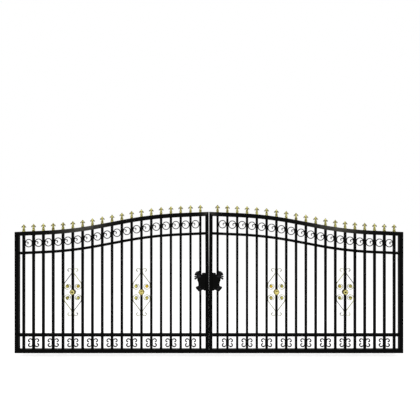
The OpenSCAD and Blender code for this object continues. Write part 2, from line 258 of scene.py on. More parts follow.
def sweep(path, section, scale=None, thin=None, closed=False, uneven=0.0):
    """Carry a section along a flat path in the leaf's plane, with domed ends where it is open."""
    path = np.asarray(path, dtype=float)
    n = len(path)
    if closed:
        t = np.roll(path, -1, axis=0) - np.roll(path, 1, axis=0)
    else:
        t = np.gradient(path, axis=0)
    t /= np.linalg.norm(t, axis=1)[:, None]
    side = np.column_stack((-t[:, 1], t[:, 0]))
    s = np.ones(n) if scale is None else np.asarray(scale, dtype=float)
    w = np.ones(n) if thin is None else np.asarray(thin, dtype=float)
    half = section[:, 0].max()
    rows = [(path[i], side[i], s[i] * (1 + uneven * wave(i)), w[i]) for i in range(n)]
    if not closed:
        first = [(path[0] - t[0] * half * s[0] * far, side[0], s[0] * k, w[0]) for far, k in END_RINGS]
        last = [(path[-1] + t[-1] * half * s[-1] * far, side[-1], s[-1] * k, w[-1]) for far, k in END_RINGS[::-1]]
        rows = first + rows + last
    p = []
    for at, sd, k, j in rows:
        for a, b in section:
            p.append((at[0] + sd[0] * a * k * j, b * k, at[1] + sd[1] * a * k * j))
    n, m = len(rows), len(section)
    faces = grid_faces(n, m, wrap_rows=True) if closed else capped(n, m)
    return np.array(p), faces


def lathe(profile, segments, power=None):
    """Turn (radius, height) pairs about z; a power above 2 squares that ring."""
    p = []
    for i, (r, z) in enumerate(profile):
        n = 2.0 if power is None else power[i]
        for j in range(segments):
            a = 2 * math.pi * (j + 0.5) / segments
            c, s = math.cos(a), math.sin(a)
            k = (abs(c) ** n + abs(s) ** n) ** (-1.0 / n)
            p.append((r * k * c, r * k * s, z))
    return np.array(p), capped(len(profile), segments)


def to_front(p):
    """Turn a shape made along +z so that it stands out to the front, -y, with x kept."""
    q = np.asarray(p, dtype=float)
    return np.column_stack((q[:, 0], -q[:, 2], q[:, 1]))


# Pieces of a leaf

def tube_run(lines, section):
    """A tube whose every section point follows its own line, closed by its mitred ends."""
    shape = Shape()
    n, m = len(lines[0]), len(section)
    p = [lines[j][i] for i in range(n) for j in range(m)]
    shape.add(p, capped(n, m))
    return shape


def frame_tubes():
    """Two stiles and the bottom rail, mitred at the corners; the meeting stile leans in to its foot."""
    section = rounded(FRAME_S, FRAME_S, 3.0, 4)
    lines = []
    for a, b in section:
        d = FRAME_S / 2 - a
        w = LEAF_W - d * MEET_S / FRAME_S
        line = [(d, b, top_z(d) - d), (d, b, d)]
        line += [(w + LEAN * k, b, z) for z, k in ((d, 1),) + LEAN_AT]
        lines.append(line + [(w, b, top_z(w) - d)])
    return tube_run(lines, section)


def ribbed(w, d, r, wide, proud):
    """A tube's outline with a low ridge along its front and back faces."""
    corners = rounded(w, d, r, 4).reshape(4, 5, 2)
    half, rise = wide / 2, 2 * proud / wide
    ridge = [(half, 0.0), (half - 0.8, 0.8 * rise), (1.6, proud - 1.6 * rise), (0.0, proud - 0.8 * rise)]
    ridge += [(-a, b) for a, b in ridge[-2::-1]]
    ridge = np.array(ridge) + np.array((0.0, d / 2))
    return np.concatenate((corners[0], ridge, corners[1], corners[2], -ridge, corners[3]))


# Weight, place and reach of each stretch of painted sheen along the top rail
RAIL_SHEENS = ((1.0, 850, 240), (0.5, 2410, 60))


def cap_rail():
    """The S-curved top rail, with a low ridge along both faces; its painted light value marks two stretches of painted
    sheen.
    """
    section = ribbed(FRAME_S + CAP_OVER, FRAME_S, 4.0, 36.0, 3.2)
    lines = []
    for a, b in section:
        d = (FRAME_S - CAP_OVER) / 2 - a
        e = max(d, 0.0)
        xs = np.linspace(e, LEAF_W - e * MEET_S / FRAME_S, RAIL_STEPS)
        lines.append([(x, b, top_z(x) - d) for x in xs])
    shape = tube_run(lines, section)
    x = shape.points[0][:, 0]
    # painted sheen: a grey highlight along the rail, widest near x 850 mm, smaller near the meeting stile
    shape.painted_light[0] = sum(k * np.exp(-((x - at) / reach) ** 2) for k, at, reach in RAIL_SHEENS)
    return shape


def inner_rails():
    """The curved upper rail and the straight lower one."""
    shape = Shape()
    section = rounded(RAIL_T, FRAME_S, 2.5, 3)
    xs = np.linspace(FRAME_S - BITE, LEAF_W - MEET_S + BITE + LEAN, RAIL_STEPS)
    upper = [top_z(x) - UPPER_DROP - RAIL_T / 2 for x in xs]
    lower = [LOWER_Z + RAIL_T / 2] * RAIL_STEPS
    for mid in (upper, lower):
        p = [(x, b, z + a) for x, z in zip(xs, mid) for a, b in section]
        shape.add(p, capped(RAIL_STEPS, len(section)))
    return shape


def picket_bars():
    """The square pickets, from inside the bottom rail to their heads."""
    shape = Shape()
    section = rounded(PICKET_S + PROUD, PICKET_S, 2.0, 3)
    for i in range(PICKETS):
        x = picket_x(i)
        rows = np.linspace(FRAME_S - 2 * BITE, picket_top(i), 9)
        p = [(x + a, b, z) for z in rows for a, b in section]
        shape.add(p, capped(len(rows), len(section)))
    return shape


# Radius of a weld bead and how much it varies, along a mitre and round a picket
MITRE_BEAD = (1.9, 0.4)
PICKET_BEAD = (2.3, 0.5)
BEAD_FLAT = 0.7


def weld_beads():
    """Uneven beads along the frame's mitres, on both faces, and round each picket where it meets a rail."""
    shape = Shape()
    loop = rounded(PICKET_S, PICKET_S, 2.0, 2)
    ring = [(math.cos(a), math.sin(a)) for a in np.linspace(0, 2 * math.pi, 6, endpoint=False)]
    run = np.linspace(3.0, FRAME_S - 3.0, 12)
    for x, z in ((0, 0), (LEAF_W + LEAN, 0), (0, HINGE_H), (LEAF_W, HINGE_H + RISE)):
        for face in (-1, 1):
            y = face * (FRAME_S / 2 - BEAD_FLAT)
            p = []
            for k, d in enumerate(run):
                e = x - d * MEET_S / FRAME_S if x else d
                h = top_z(e) - d if z else d
                s = MITRE_BEAD[0] + MITRE_BEAD[1] * wave(k, x, z, face)
                for c, g in ring:
                    across = s * c * BEAD_FLAT
                    p.append((e + across, y + s * g * BEAD_FLAT, h + (across if z else -across)))
            shape.add(p, capped(len(run), len(ring)))
    for i in range(PICKETS):
        x = picket_x(i)
        t = top_z(x)
        slope = (top_z(x + 5) - top_z(x - 5)) / 10
        joints = [
            (FRAME_S, 0.0), (LOWER_Z, 0.0), (LOWER_Z + RAIL_T, 0.0), (t - UPPER_DROP - RAIL_T, slope),
            (t - UPPER_DROP, slope), (t - FRAME_S, slope), (t, slope),
        ]
        for j, (z, rise) in enumerate(joints):
            p = []
            for k, (a, b) in enumerate(loop):
                s = PICKET_BEAD[0] + PICKET_BEAD[1] * wave(i, j, k)
                n = math.hypot(a, b)
                for c, d in ring:
                    p.append((x + a + s * c * a / n, b + s * c * b / n, z + rise * a + s * d * 0.8))
            shape.add(p, grid_faces(len(loop), len(ring), wrap_rows=True))
    return shape


def penny(shape, x, z, r, depth, gilt=0.0):
    """A rolled end: a short drum across the bar with softened rims."""
    prof = [(r - 1.6, -depth / 2), (r - 0.5, -depth / 2 + 0.4), (r, -depth / 2 + 1.6),
            (r, depth / 2 - 1.6), (r - 0.5, depth / 2 - 0.4), (r - 1.6, depth / 2)]
    p, f = lathe(prof, 18)
    shape.add(to_front(p) + np.array((x, 0.0, z)), f, gilt)


def ring_one():
    """A ring a little taller than wide, with a hook inside that ends in a rolled tip."""
    shape = Shape()
    section = rounded(RING_T + PROUD, BAR_D, 2.0, 2)
    up = RING_TALL / 2
    loop = chain(arc(0, up, RING_C, 0, 180, 6), arc(0, -up, RING_C, 180, 360, 6))
    shape.add(*sweep(loop, section, closed=True, uneven=0.015))
    hook = chain([(-RING_C + 1, -8)], arc(-28.75, 1, 13.5, 180, 90), arc(-20.5, 1, 13.5, 90, -50))
    scale = np.interp(np.linspace(0, 1, len(hook)), (0, 0.1, 0.8, 1), (0.85, 1, 1, 0.9))
    shape.add(*sweep(hook, section, scale=scale, uneven=0.01))
    penny(shape, hook[-1][0], hook[-1][1], 5.2, BAR_D)
    return shape


def rings():
    """A ring in each space between pickets, under the top rail."""
    shape = Shape()
    one = ring_one()
    for i in range(PICKETS - 1):
        x = picket_x(i) + PITCH / 2
        shape.join(one, at=(x, 0, round((top_z(x) - RING_DROP) * 10) / 10))
    return shape


def base_one():
    """One C scroll to the right of its picket, thin where it lies along it, with both ends rolled in."""
    shape = Shape()
    section = rounded(BASE_T + 1.5 * PROUD, BAR_D, 2.2, 3)
    out = BASE_X + BASE_R
    end = BASE_X + 2 * BASE_R - BASE_IN
    turn = np.linspace(180, 0, 25)
    thick = np.interp(turn, (125, 172), (BASE_T, BASE_BACK))
    r = BASE_R + (BASE_T - thick) / 2
    hook = np.column_stack((out + r * np.cos(np.radians(turn)), BASE_RISE + r * np.sin(np.radians(turn))))
    roll = arc(end, BASE_RISE, BASE_IN, 0, -90)[1:]
    path = np.concatenate((hook, roll))
    thin = np.concatenate((thick, np.full(len(roll), BASE_T))) / BASE_T
    low = path[::-1] * np.array((1.0, -1.0))
    shape.add(*sweep(np.concatenate((low, path)), section, thin=np.concatenate((thin[::-1], thin)), uneven=0.012))
    for s in (1, -1):
        penny(shape, end, s * (BASE_RISE - BASE_IN), 0.65 * BASE_T, BAR_D)
    return shape


def c_scrolls():
    """A mirrored pair of C scrolls on every second picket."""
    shape = Shape()
    one = base_one()
    flip = np.diag((-1.0, 1.0, 1.0))
    for i in range(1, PICKETS, 2):
        shape.join(one, at=(picket_x(i), 0, BASE_Z))
        shape.join(one, turn=flip, at=(picket_x(i), 0, BASE_Z))
    return shape


def flower_line():
    """A flower scroll's line, with how thick and how pale it is along the way: thin where it lies along a picket."""
    runs = (
        (arc(49.5, 276, 13.5, 270, 360), (1.0, 1.0), (0.0, 0.1)),
        (arc(40.5, 276, 22.5, 0, 180), (1.0, 0.45), (0.1, 0.9)),
        ([(18, 276), (18, 246)], (0.45, 0.45), (0.9, 0.7)),
        (arc(68, 246, 50, 180, 216.87, 5), (0.45, 1.0), (0.7, 0.0)),
        (arc(55.5, 96, 50, 36.87, 0, 5), (1.0, 0.8), (0.0, 0.5)),
        ([(105.5, 96), (105.5, 72)], (0.8, 0.8), (0.5, 1.0)),
        (arc(67.5, 72, 38, 0, -180, 6), (0.8, 0.8), (1.0, 1.0)),
        (arc(58, 72, 28.5, 180, 0), (0.8, 0.8), (1.0, 1.0)),
        (arc(72.25, 72, 14.25, 0, -180), (0.8, 0.9), (1.0, 1.0)),
    )
    line, thin, pale = [], [], []
    for points, (t0, t1), (p0, p1) in runs:
        for k, (x, z) in enumerate(points):
            f = k / (len(points) - 1)
            if line and math.hypot(x - line[-1][0], z - line[-1][1]) < 0.05:
                continue
            line.append((x, z))
            thin.append(t0 + (t1 - t0) * f)
            pale.append(p0 + (p1 - p0) * f)
    line, thin, pale = np.array(line), np.array(thin), np.array(pale)
    lean = np.clip((line[:, 0] - 97) / 8, 0, 1) - np.clip((26 - line[:, 0]) / 8, 0, 1)
    line[:, 0] += lean * (1 - thin) * FLOWER_T / 2
    return line, thin, pale


# How much gold each quarter's straight part carries, by panel from the hinge side, with the lit quarters given more as
# painted highlight; its spiral and its penny foot
BAR_GILT_AND_HIGHLIGHT = ((0.72, 0.06, 0.7, 0.1), (0.4, 0.36, 0.46, 0.4))
SPIRAL_GILT = 0.62
FOOT_GILT = 0.12
FOOT_AT = (49.5, 262.5)


def flower_work():
    """The four S scrolls of each flower panel."""
    shape = Shape()
    section = rounded(FLOWER_T, BAR_D, 1.8, 2)
    line, thin, pale = flower_line()
    p, f = sweep(line, section, thin=thin, uneven=0.02)
    pale = np.repeat(np.concatenate((pale[:1], pale[:1], pale, pale[-1:], pale[-1:])), len(section))
    for n, at in enumerate(PANEL_AT):
        for q, (sx, sz) in enumerate(QUARTERS):
            one = Shape()
            # painted highlight: each quarter's straight part takes its own share of gold
            one.add(p, f, BAR_GILT_AND_HIGHLIGHT[n][q] * (1 - pale) + SPIRAL_GILT * pale)
            penny(one, *FOOT_AT, 0.65 * FLOWER_T, BAR_D, gilt=FOOT_GILT)
            shape.join(one, turn=np.diag((sx, 1.0, sz)), at=(picket_x(at), 0, PANEL_Z))
    return shape


def petal(r0, r1, half, h0, h1, lip, cup, thick, steps):
    """A thick cupped petal along +x that stands on z, with each point's place from root to tip."""
    top, low = [], []
    for i in range(steps + 1):
        v = i / steps
        for j in range(steps + 1):
            u = 2 * j / steps - 1
            r = r0 + (r1 * (1 - 0.16 * u * u) - r0) * v
            a = half * u * (0.75 + 0.25 * math.sin(math.pi * (0.15 + 0.7 * v)))
            h = h0 + (h1 - h0) * v ** 0.85 - lip * max(0.0, v - 0.65) ** 2 * 8 + cup * u * u * v
            h += 0.25 * math.cos(5 * math.pi * u) * v * (1 - v) * 2
            top.append((r * math.cos(a), r * math.sin(a), h))
            low.append((r * math.cos(a), r * math.sin(a), h - thick * (1 - 0.6 * v)))
    n = len(top)
    cols = steps + 1
    faces = []
    for i in range(steps):
        for j in range(steps):
            a, b = i * cols + j, i * cols + j + 1
            c, d = b + cols, a + cols
            faces.append((a, b, c, d))
            faces.append((n + d, n + c, n + b, n + a))
    rim = [j for j in range(cols)] + [i * cols + steps for i in range(1, cols)]
    rim += [steps * cols + j for j in range(steps - 1, -1, -1)] + [i * cols for i in range(steps - 1, 0, -1)]
    for k in range(len(rim)):
        a, b = rim[k], rim[(k + 1) % len(rim)]
        faces.append((b, a, n + a, n + b))
    v = np.tile(np.repeat(np.linspace(0, 1, cols), cols), 2)
    return np.array(top + low), faces, v


def spin(deg):
    """Matrix that turns about z."""
    c, s = math.cos(math.radians(deg)), math.sin(math.radians(deg))
    return np.array(((c, -s, 0), (s, c, 0), (0, 0, 1)))


# A tier of petals: root and tip radius, half angle, root and tip height, lip, cup, count, first angle, tip's painted
# shade
ROSE_TIERS = (
    (5, 20, 36, 2.2, 5.2, 1.6, -0.6, 6, 10, 0.7),
    (3, 14.2, 40, 3.6, 7.4, 1.0, 0.6, 5, 34, 0.0),
    (1.5, 8.6, 46, 5.2, 9.0, 0.4, 1.0, 4, 12, 0.1),
)


def rose_one():
    """A small open rose that stands out along +z from its flat back."""
    shape = Shape()
    p, f = lathe([(9, 0), (15, 0), (16.5, 0.8), (16, 2.2), (11, 3.2), (4, 3.6)], 24)
    # painted shade: the base under the petals, the petal roots and undersides and the first tier's tips are darkened;
    # the heart a little
    shape.add(p, f, 1.0, 0.75)
    for r0, r1, half, h0, h1, lip, cup, count, start, edge in ROSE_TIERS:
        p, f, v = petal(r0, r1, math.radians(half), h0, h1, lip, cup, thick=1.3, steps=6)
        deep = np.clip(1.0 - v * 1.7, 0, 1) * 0.85 + edge * np.clip((v - 0.5) / 0.4, 0, 1)
        deep[len(v) // 2:] = 0.9
        for k in range(count):
            q = p @ spin(start + 360.0 * k / count + 5 * wave(k, count)).T
            shape.add(q, f, 1.0, deep)
    p, f = lathe([(3.2, 5.0), (3.0, 7.6), (2.2, 8.6), (1.1, 8.2)], 12)
    shape.add(p, f, 1.0, 0.35)
    return shape


def rosette_one(eye, rim, brow):
    """A two-tier flower boss that stands out along +z from its flat back; eye, rim and brow set how much painted shade
    the eye's recess and boss, the inner tier's petal tips and the boss's upper half carry.
    """
    shape = Shape()
    p, f = lathe([(16, 0), (30, 0), (32, 1.0), (31, 2.8), (20, 5.0), (8, 6.0)], 32)
    # painted shade: the base under the petals, the petal roots and undersides and the outer tier's tips; the inner
    # tier's tips as dark as rim
    shape.add(p, f, 1.0, 0.95)
    tiers = ((12, 37, 25, 3.6, 6.4, 2.2, -0.8, 8, 0, 0.95), (7, 27, 25, 7.0, 11.2, 1.6, -0.6, 8, 22.5, rim))
    for r0, r1, half, h0, h1, lip, cup, count, start, edge in tiers:
        p, f, v = petal(r0, r1, math.radians(half), h0, h1, lip, cup, thick=2.2, steps=8)
        deep = np.clip(0.9 - v * 2.2, 0, 1) * 0.7 + edge * np.clip((v - 0.35) / 0.4, 0, 1)
        deep[len(v) // 2:] = 0.95
        for k in range(count):
            shape.add(p @ spin(start + 360.0 * k / count).T, f, 1.0, np.clip(deep, 0, 1))
    p, f = lathe([(15, 6), (15.4, 10.2), (14.6, 12.8), (12.8, 13.4), (11.2, 12.2), (10.6, 10.6), (4, 10.2)], 32)
    # painted shade in the eye's recess and over its boss, set by eye; brow adds a painted shadow over their upper half
    dark = eye * np.repeat((0.5, 0.25, 0.2, 0.6, 0.95, 1.0, 1.0), 32)
    shape.add(p, f, 1.0, dark + brow * np.clip(p[:, 1] / 8.0, 0, 1))
    p, f = lathe([(9.0, 9.5), (9.0, 13.2), (8.0, 15.4), (5.6, 16.5), (2.8, 16.4), (1.4, 15.4)], 24)
    dark = eye * np.repeat((1.0, 1.0, 0.95, 0.9, 0.95, 1.0), 24)
    shape.add(p, f, 1.0, dark + brow * np.clip(p[:, 1] / 4.0, 0, 1))
    return shape


# A leaf's front and back: which way it lies along y, and the turn that stands a flower on it
FACES = (
    (-1, np.array(((1, 0, 0), (0, 0, -1), (0, 1, 0)), dtype=float)),
    (1, np.array(((-1, 0, 0), (0, 0, 1), (0, 1, 0)), dtype=float)),
)
# Gilt of each quarter's rose, by panel, and gilt, painted shade scale, eye, rim and brow of each panel's rosette; eye,
# rim and brow set painted shade
ROSE_GILT = ((1.45, 1.1, 1.0, 1.0), (2.0, 1.0, 1.0, 1.2))
ROSETTE_LOOKS = ((1.05, 1.0, 1.0, 0.12, 0.0), (1.25, 0.6, 0.05, 0.45, 1.1))


def rose_heads():
    """A rose in each spiral of the flower panels, on both faces, each turned its own way."""
    shape = Shape()
    one = rose_one()
    wider = np.diag((ROSE_WIDER, ROSE_WIDER, 1.0))
    for n, panel in enumerate(PANEL_AT):
        for q, (sx, sz) in enumerate(QUARTERS):
            for k, (back, face) in enumerate(FACES):
                turn = face @ spin(67 * n + 101 * q + 31 * k) @ wider
                at = (picket_x(panel) + sx * ROSE_AT[0], back * BAR_D / 2, PANEL_Z + sz * ROSE_AT[1])
                shape.join(one, turn=turn, at=at, gilt=ROSE_GILT[n][q])
    return shape


def rosette_heads():
    """A rosette at the middle of each flower panel, on both faces."""
    shape = Shape()
    for panel, (fresh, wear_and_painted_light, eye, rim, brow) in zip(PANEL_AT, ROSETTE_LOOKS):
        one = rosette_one(eye, rim, brow)
        for back, face in FACES:
            at = (picket_x(panel), back * PICKET_S / 2, PANEL_Z)
            shape.join(one, turn=face, at=at, gilt=fresh, painted_light=wear_and_painted_light)
    return shape


def spear_stem(shape):
    """The turned stem, with a square gilt sleeve over the picket's head that reaches down to the rail."""
    foot = SPEAR_DROP - PICKET_OVER
    # Radius, height, how square (2 is round) and how much painted shade
    rows = (
        (15.0, foot, 10, 0.6), (15.8, foot + 0.8, 10, 0.4), (15.8, -1.0, 10, 0.2), (15.8, 5.6, 10, 0.2),
        (14.2, 6.6, 6, 0.4), (11.4, 7.8, 2.6, 0.7), (11.0, 9.0, 2, 0.8), (13.0, 10.6, 2, 0.7),
        (17.4, 12.2, 2, 0.2), (19.0, 14.8, 2, 0.0), (19.0, 17.2, 2, 0.0), (17.4, 20.0, 2, 0.2),
        (14.0, 21.6, 2, 0.7), (12.2, 23.2, 2, 0.9), (14.4, 24.8, 2, 0.3), (14.4, 27.2, 2, 0.3),
        (13.2, 28.8, 2, 0.7), (12.2, 33.0, 2, 0.3), (11.8, 38.0, 2, 0.2), (12.4, 42.5, 2, 0.3),
        (13.8, 44.6, 2, 0.2), (14.2, 46.2, 2, 0.05), (14.2, 49.2, 2, 0.05), (13.2, 50.8, 2, 0.25),
        (9.6, 52.0, 2, 0.9), (6.0, 54.0, 2, 0.9),
    )
    p, f = lathe([row[:2] for row in rows], 24, power=[row[2] for row in rows])
    gilt = np.clip((p[:, 2] - foot) / 6.0, 0.4, 1)
    shape.add(p, f, gilt, np.repeat([row[3] for row in rows], 24))


def spear_blade(shape):
    """The leaf-shaped blade, with a rib down its middle and a flute to each side of it."""
    heights = np.array((45.0, 48.0, 52.0, 56.0, 60.0, 64.0, 68.0, 72.0, 76.0, 80.0, 83.5, 86.0, 87.5, 88.0))
    wide = np.interp(heights, (45, 50, 55, 60, 65, 70, 75, 80, 84, 87, 88),
                     (9, 12.5, 15.5, 17, 16.2, 13.8, 10.6, 7.2, 4.2, 1.9, 0.8))
    deep = np.interp(heights, (45, 50, 56, 62, 70, 78, 84, 88), (8, 9.5, 10.8, 10.2, 8.0, 5.2, 2.8, 0.7))
    quarter = ((1.0, 0.0), (0.9, 0.16), (0.55, 0.42), (0.2, 0.82), (0.0, 1.0))
    ring = list(quarter) + [(-a, b) for a, b in quarter[-2::-1]]
    ring += [(-a, -b) for a, b in quarter[1:]] + [(a, -b) for a, b in quarter[-2:0:-1]]
    m = len(ring)
    p = [(w * a, d * b, h) for h, w, d in zip(heights, wide, deep) for a, b in ring]
    # painted shade in the flutes and at the edges, darker toward the foot and the tip
    flute = np.tile([0.3 if 0.3 < abs(a) < 0.7 else 0.6 * (abs(a) > 0.8) for a, b in ring], len(heights))
    low = np.repeat(np.clip((54 - heights) / 8, 0, 1) * 0.3, m)
    tip = np.repeat(np.clip((heights - 80) / 8, 0, 1) * 0.35, m)
    shape.add(p, capped(len(heights), m), 1.0, np.clip(flute + low + tip, 0, 1))


ARM_REACH = 29.9


def spear_arms(shape):
    """The two side curls, which bend out and down."""
    turns = np.linspace(0, 2 * math.pi, 14, endpoint=False)
    oval = np.array([(math.cos(a) * (1 - 0.14 * math.cos(2 * a)), math.sin(a)) for a in turns])
    path = chain([(5.0, 44.0)], arc(12.4, 50.0, 11.2, 160, 12, 10), [(24.4, 48.6)], arc(29.0, 49.8, 4.4, 200, 262, 20))
    along = np.linspace(0, 1, len(path))
    p, f = sweep(path, oval, scale=np.interp(along, (0, 0.25, 0.6, 0.86, 1), (5.4, 6.8, 6.4, 5.0, 3.2)))
    # painted shade along the curls, darkest at their tips
    dark = np.interp(along, (0, 0.3, 0.6, 1), (0.7, 0.5, 0.75, 0.9))
    dark = np.repeat(np.concatenate(((0.6, 0.6), dark, (0.9, 0.9))), len(oval))
    p[:, 0] = np.minimum(p[:, 0], ARM_REACH)
    for k in (1, -1):
        shape.add(p * np.array((k, 1, 1)), f, 1.0, dark)


# Half sizes of the pearl on each face of a spear, how far out it sits and its height
PEARL = (4.6, 3.6, 7.5)
PEARL_OUT = 8.8
PEARL_Z = 50.0


def spear_pearls(shape):
    """An oval pearl on each face, where the curls spring from."""
    for k in (1, -1):
        p = []
        for i in range(1, 8):
            a = math.pi * i / 8
            for j in range(12):
                b = 2 * math.pi * j / 12
                y = PEARL_OUT + PEARL[1] * math.sin(a) * math.sin(b)
                p.append((PEARL[0] * math.sin(a) * math.cos(b), k * y, PEARL_Z - PEARL[2] * math.cos(a)))
        # faint painted shade on the pearls
        shape.add(p, capped(7, 12), 1.0, 0.12)


def spears():
    """A spear finial over each picket, each turned a little its own way."""
    one = Shape()
    for part in (spear_stem, spear_blade, spear_arms, spear_pearls):
        part(one)
    shape = Shape()
    for i in range(PICKETS):
        shape.join(one, turn=spin(2.5 * wave(i, 3)), at=(picket_x(i), 0, picket_top(i) - SPEAR_DROP))
    return shape


# The lock casting: one outline, a bead along it, fan ribs and a leaf; x runs from the meeting stile's inner edge

RELIEF = 2.6
LOCK_FLAT = LOCK_T - RELIEF
EDGE_DROP = 1.5
EDGE_RUN = 1.6
FAN_AT = (-66.5, 186.0)
FAN_R = 74.0
CURL_AT = (-68.5, 24.0)
# Each lobe's direction in degrees, its reach as a share of the fan, and its half width at the root and the tip
LOBES = (
    (104, 0.96, 7, 10), (124, 1.0, 7, 10), (142, 1.0, 7, 9),
    (158.5, 0.99, 4, 8.6), (182.5, 0.96, 4, 8.8), (207, 1.04, 6, 10.5),
)
# The mesh's grid, and where the plate is cut off against the stile
LOCK_STEP = 1.5
LOCK_ACROSS = (-147.0, 5.0)
LOCK_UP = (-9.0, 268.0)
LOCK_END = 3.98


def point_dist(x, z, at):
    """Distance to a point."""
    return np.hypot(x - at[0], z - at[1])


def seg_dist(x, z, a, b):
    """Distance to the line from a to b, and how far along it the nearest point is."""
    ax, az, bx, bz = a[0], a[1], b[0], b[1]
    t = np.clip(((x - ax) * (bx - ax) + (z - az) * (bz - az)) / ((bx - ax) ** 2 + (bz - az) ** 2), 0, 1)
    return np.hypot(x - ax - t * (bx - ax), z - az - t * (bz - az)), t


def box_dist(x, z, x0, x1, z0, z1):
    """Distance to a box, below zero inside it."""
    dx = np.maximum(x0 - x, x - x1)
    dz = np.maximum(z0 - z, z - z1)
    return np.minimum(np.maximum(dx, dz), 0) + np.hypot(np.maximum(dx, 0), np.maximum(dz, 0))


def poly_dist(x, z, pts):
    """Distance to a polygon, below zero inside it."""
    best = np.full(x.shape, np.inf)
    inside = np.zeros(x.shape, dtype=bool)
    for k in range(len(pts)):
        a, b = pts[k], pts[(k + 1) % len(pts)]
        best = np.minimum(best, seg_dist(x, z, a, b)[0])
        cross = (a[1] > z) != (b[1] > z)
        inside ^= cross & (x < (b[0] - a[0]) * (z - a[1]) / (b[1] - a[1] + 1e-12) + a[0])
    return np.where(inside, -best, best)


def dome(q, r):
    """Height of a half round of unit height at distance q from its axis, zero beyond r."""
    return np.sqrt(np.clip(1 - (q / r) ** 2, 0, 1))


def lobe_lines():
    """Each lobe's axis and its half width at the root and the tip."""
    out = []
    for turn, reach, root, half in LOBES:
        a = math.radians(turn)
        r = FAN_R * reach - half
        out.append((FAN_AT, (FAN_AT[0] + r * math.cos(a), FAN_AT[1] + r * math.sin(a)), root, half))
    return out


def lock_field(x, z):
    """Distance to the plate's outline, below zero inside: hollowed body, head, fan, curl, leaf and foot."""
    body = np.maximum(box_dist(x, z, -100, 4, 16, 208), 110 - point_dist(x, z, (-196, 84)))
    d = np.minimum(body, box_dist(x, z, -31, 4, 190, 230))
    d = np.minimum(d, point_dist(x, z, (-28, 217)) - 13)
    for a, b, root, half in lobe_lines():
        e, t = seg_dist(x, z, a, b)
        d = np.minimum(d, e - root - (half - root) * t * t)
    d = np.minimum(d, point_dist(x, z, CURL_AT) - 28)
    d = np.minimum(d, poly_dist(x, z, ((-63.5, 73), (-121, 51), (-110, 27), (-77.5, 2))))
    return np.minimum(d, np.maximum(point_dist(x, z, (-6, 20)) - 13, x - 4))


def lock_height(x, z):
    """Relief over the plate's back, at most its full thickness, and how far the ornament stands out."""
    d = -lock_field(x, z)
    plain = LOCK_FLAT + 1.7 * dome(d - 4.5, 3.2)
    h = plain
    for a, b, _, half in lobe_lines():
        e, t = seg_dist(x, z, a, b)
        h = np.maximum(h, LOCK_FLAT + RELIEF * dome(e, 2.2 + (half - 3.6) * t) * np.clip(t * 5, 0, 1))
    h = np.maximum(h, LOCK_FLAT + RELIEF * dome(point_dist(x, z, FAN_AT), 13))
    e, t = seg_dist(x, z, (-60, 62), (-109, 43))
    h = np.maximum(h, LOCK_FLAT + 2.3 * dome(e, 3.0 + 9 * t * (1 - t)))
    h = np.maximum(h, LOCK_FLAT + 2.2 * dome(point_dist(x, z, CURL_AT) - 15, 4.0))
    for at, r in (((-14, 214), 5.5), ((-12, 38), 5.5), (CURL_AT, 7)):
        h = np.maximum(h, LOCK_FLAT + 2.5 * dome(point_dist(x, z, at), r))
    h = np.minimum(h, LOCK_T)
    return h - EDGE_DROP * np.clip(1 - d / EDGE_RUN, 0, 1) ** 2, np.clip((h - plain) / RELIEF, 0, 1)


def lock_one():
    """Marching squares over the outline, with the relief on the front and a flat back."""
    xs = np.arange(*LOCK_ACROSS, LOCK_STEP)
    zs = np.arange(*LOCK_UP, LOCK_STEP)
    gx, gz = np.meshgrid(xs, zs, indexing="ij")
    field = np.maximum(lock_field(gx, gz), gx - LOCK_END)
    inside = field < 0
    index = {}
    flat = []

    def corner(a):
        """Index of a grid point inside the outline."""
        if a not in index:
            index[a] = len(flat)
            flat.append((gx[a], gz[a]))
        return index[a]

    def crossing(a, b):
        """Index of the point where the outline passes between two grid points."""
        a, b = sorted((a, b))
        if (a, b) not in index:
            t = min(max(field[a] / (field[a] - field[b]), 0.02), 0.98)
            index[a, b] = len(flat)
            flat.append((gx[a] * (1 - t) + gx[b] * t, gz[a] * (1 - t) + gz[b] * t))
        return index[a, b]

    tops = []
    for i in range(len(xs) - 1):
        for j in range(len(zs) - 1):
            ring = ((i, j), (i + 1, j), (i + 1, j + 1), (i, j + 1))
            face = []
            for k in range(4):
                a, b = ring[k], ring[(k + 1) % 4]
                if inside[a]:
                    face.append(corner(a))
                if inside[a] != inside[b]:
                    face.append(crossing(a, b))
            if len(face) > 2:
                tops.append(tuple(face))
    flat = np.array(flat)
    n = len(flat)
    h, relief_glint = lock_height(flat[:, 0], flat[:, 1])
    front = np.column_stack((flat[:, 0], -h, flat[:, 1]))
    back = np.column_stack((flat[:, 0], np.zeros(n), flat[:, 1]))
    edges = dict.fromkeys((face[k], face[(k + 1) % len(face)]) for face in tops for k in range(len(face)))
    faces = tops + [tuple(n + v for v in reversed(face)) for face in tops]
    faces += [(b, a, n + a, n + b) for a, b in edges if (b, a) not in edges]
    shape = Shape()
    # painted highlight: the front's raised ornament takes a lighter grey in proportion to how far it stands out
    shape.add(np.concatenate((front, back)), faces, 0.0, np.concatenate((relief_glint, np.zeros(n))))
    return shape


def lock_castings():
    """A lock casting on each face of the last picket, against the meeting stile."""
    shape = Shape()
    one = lock_one()
    for k in (1.0, -1.0):
        shape.join(one, turn=np.diag((1.0, k, 1.0)), at=(LEAF_W - MEET_S, -k * PICKET_S / 2, LOCK_Z))
    return shape


# Paints

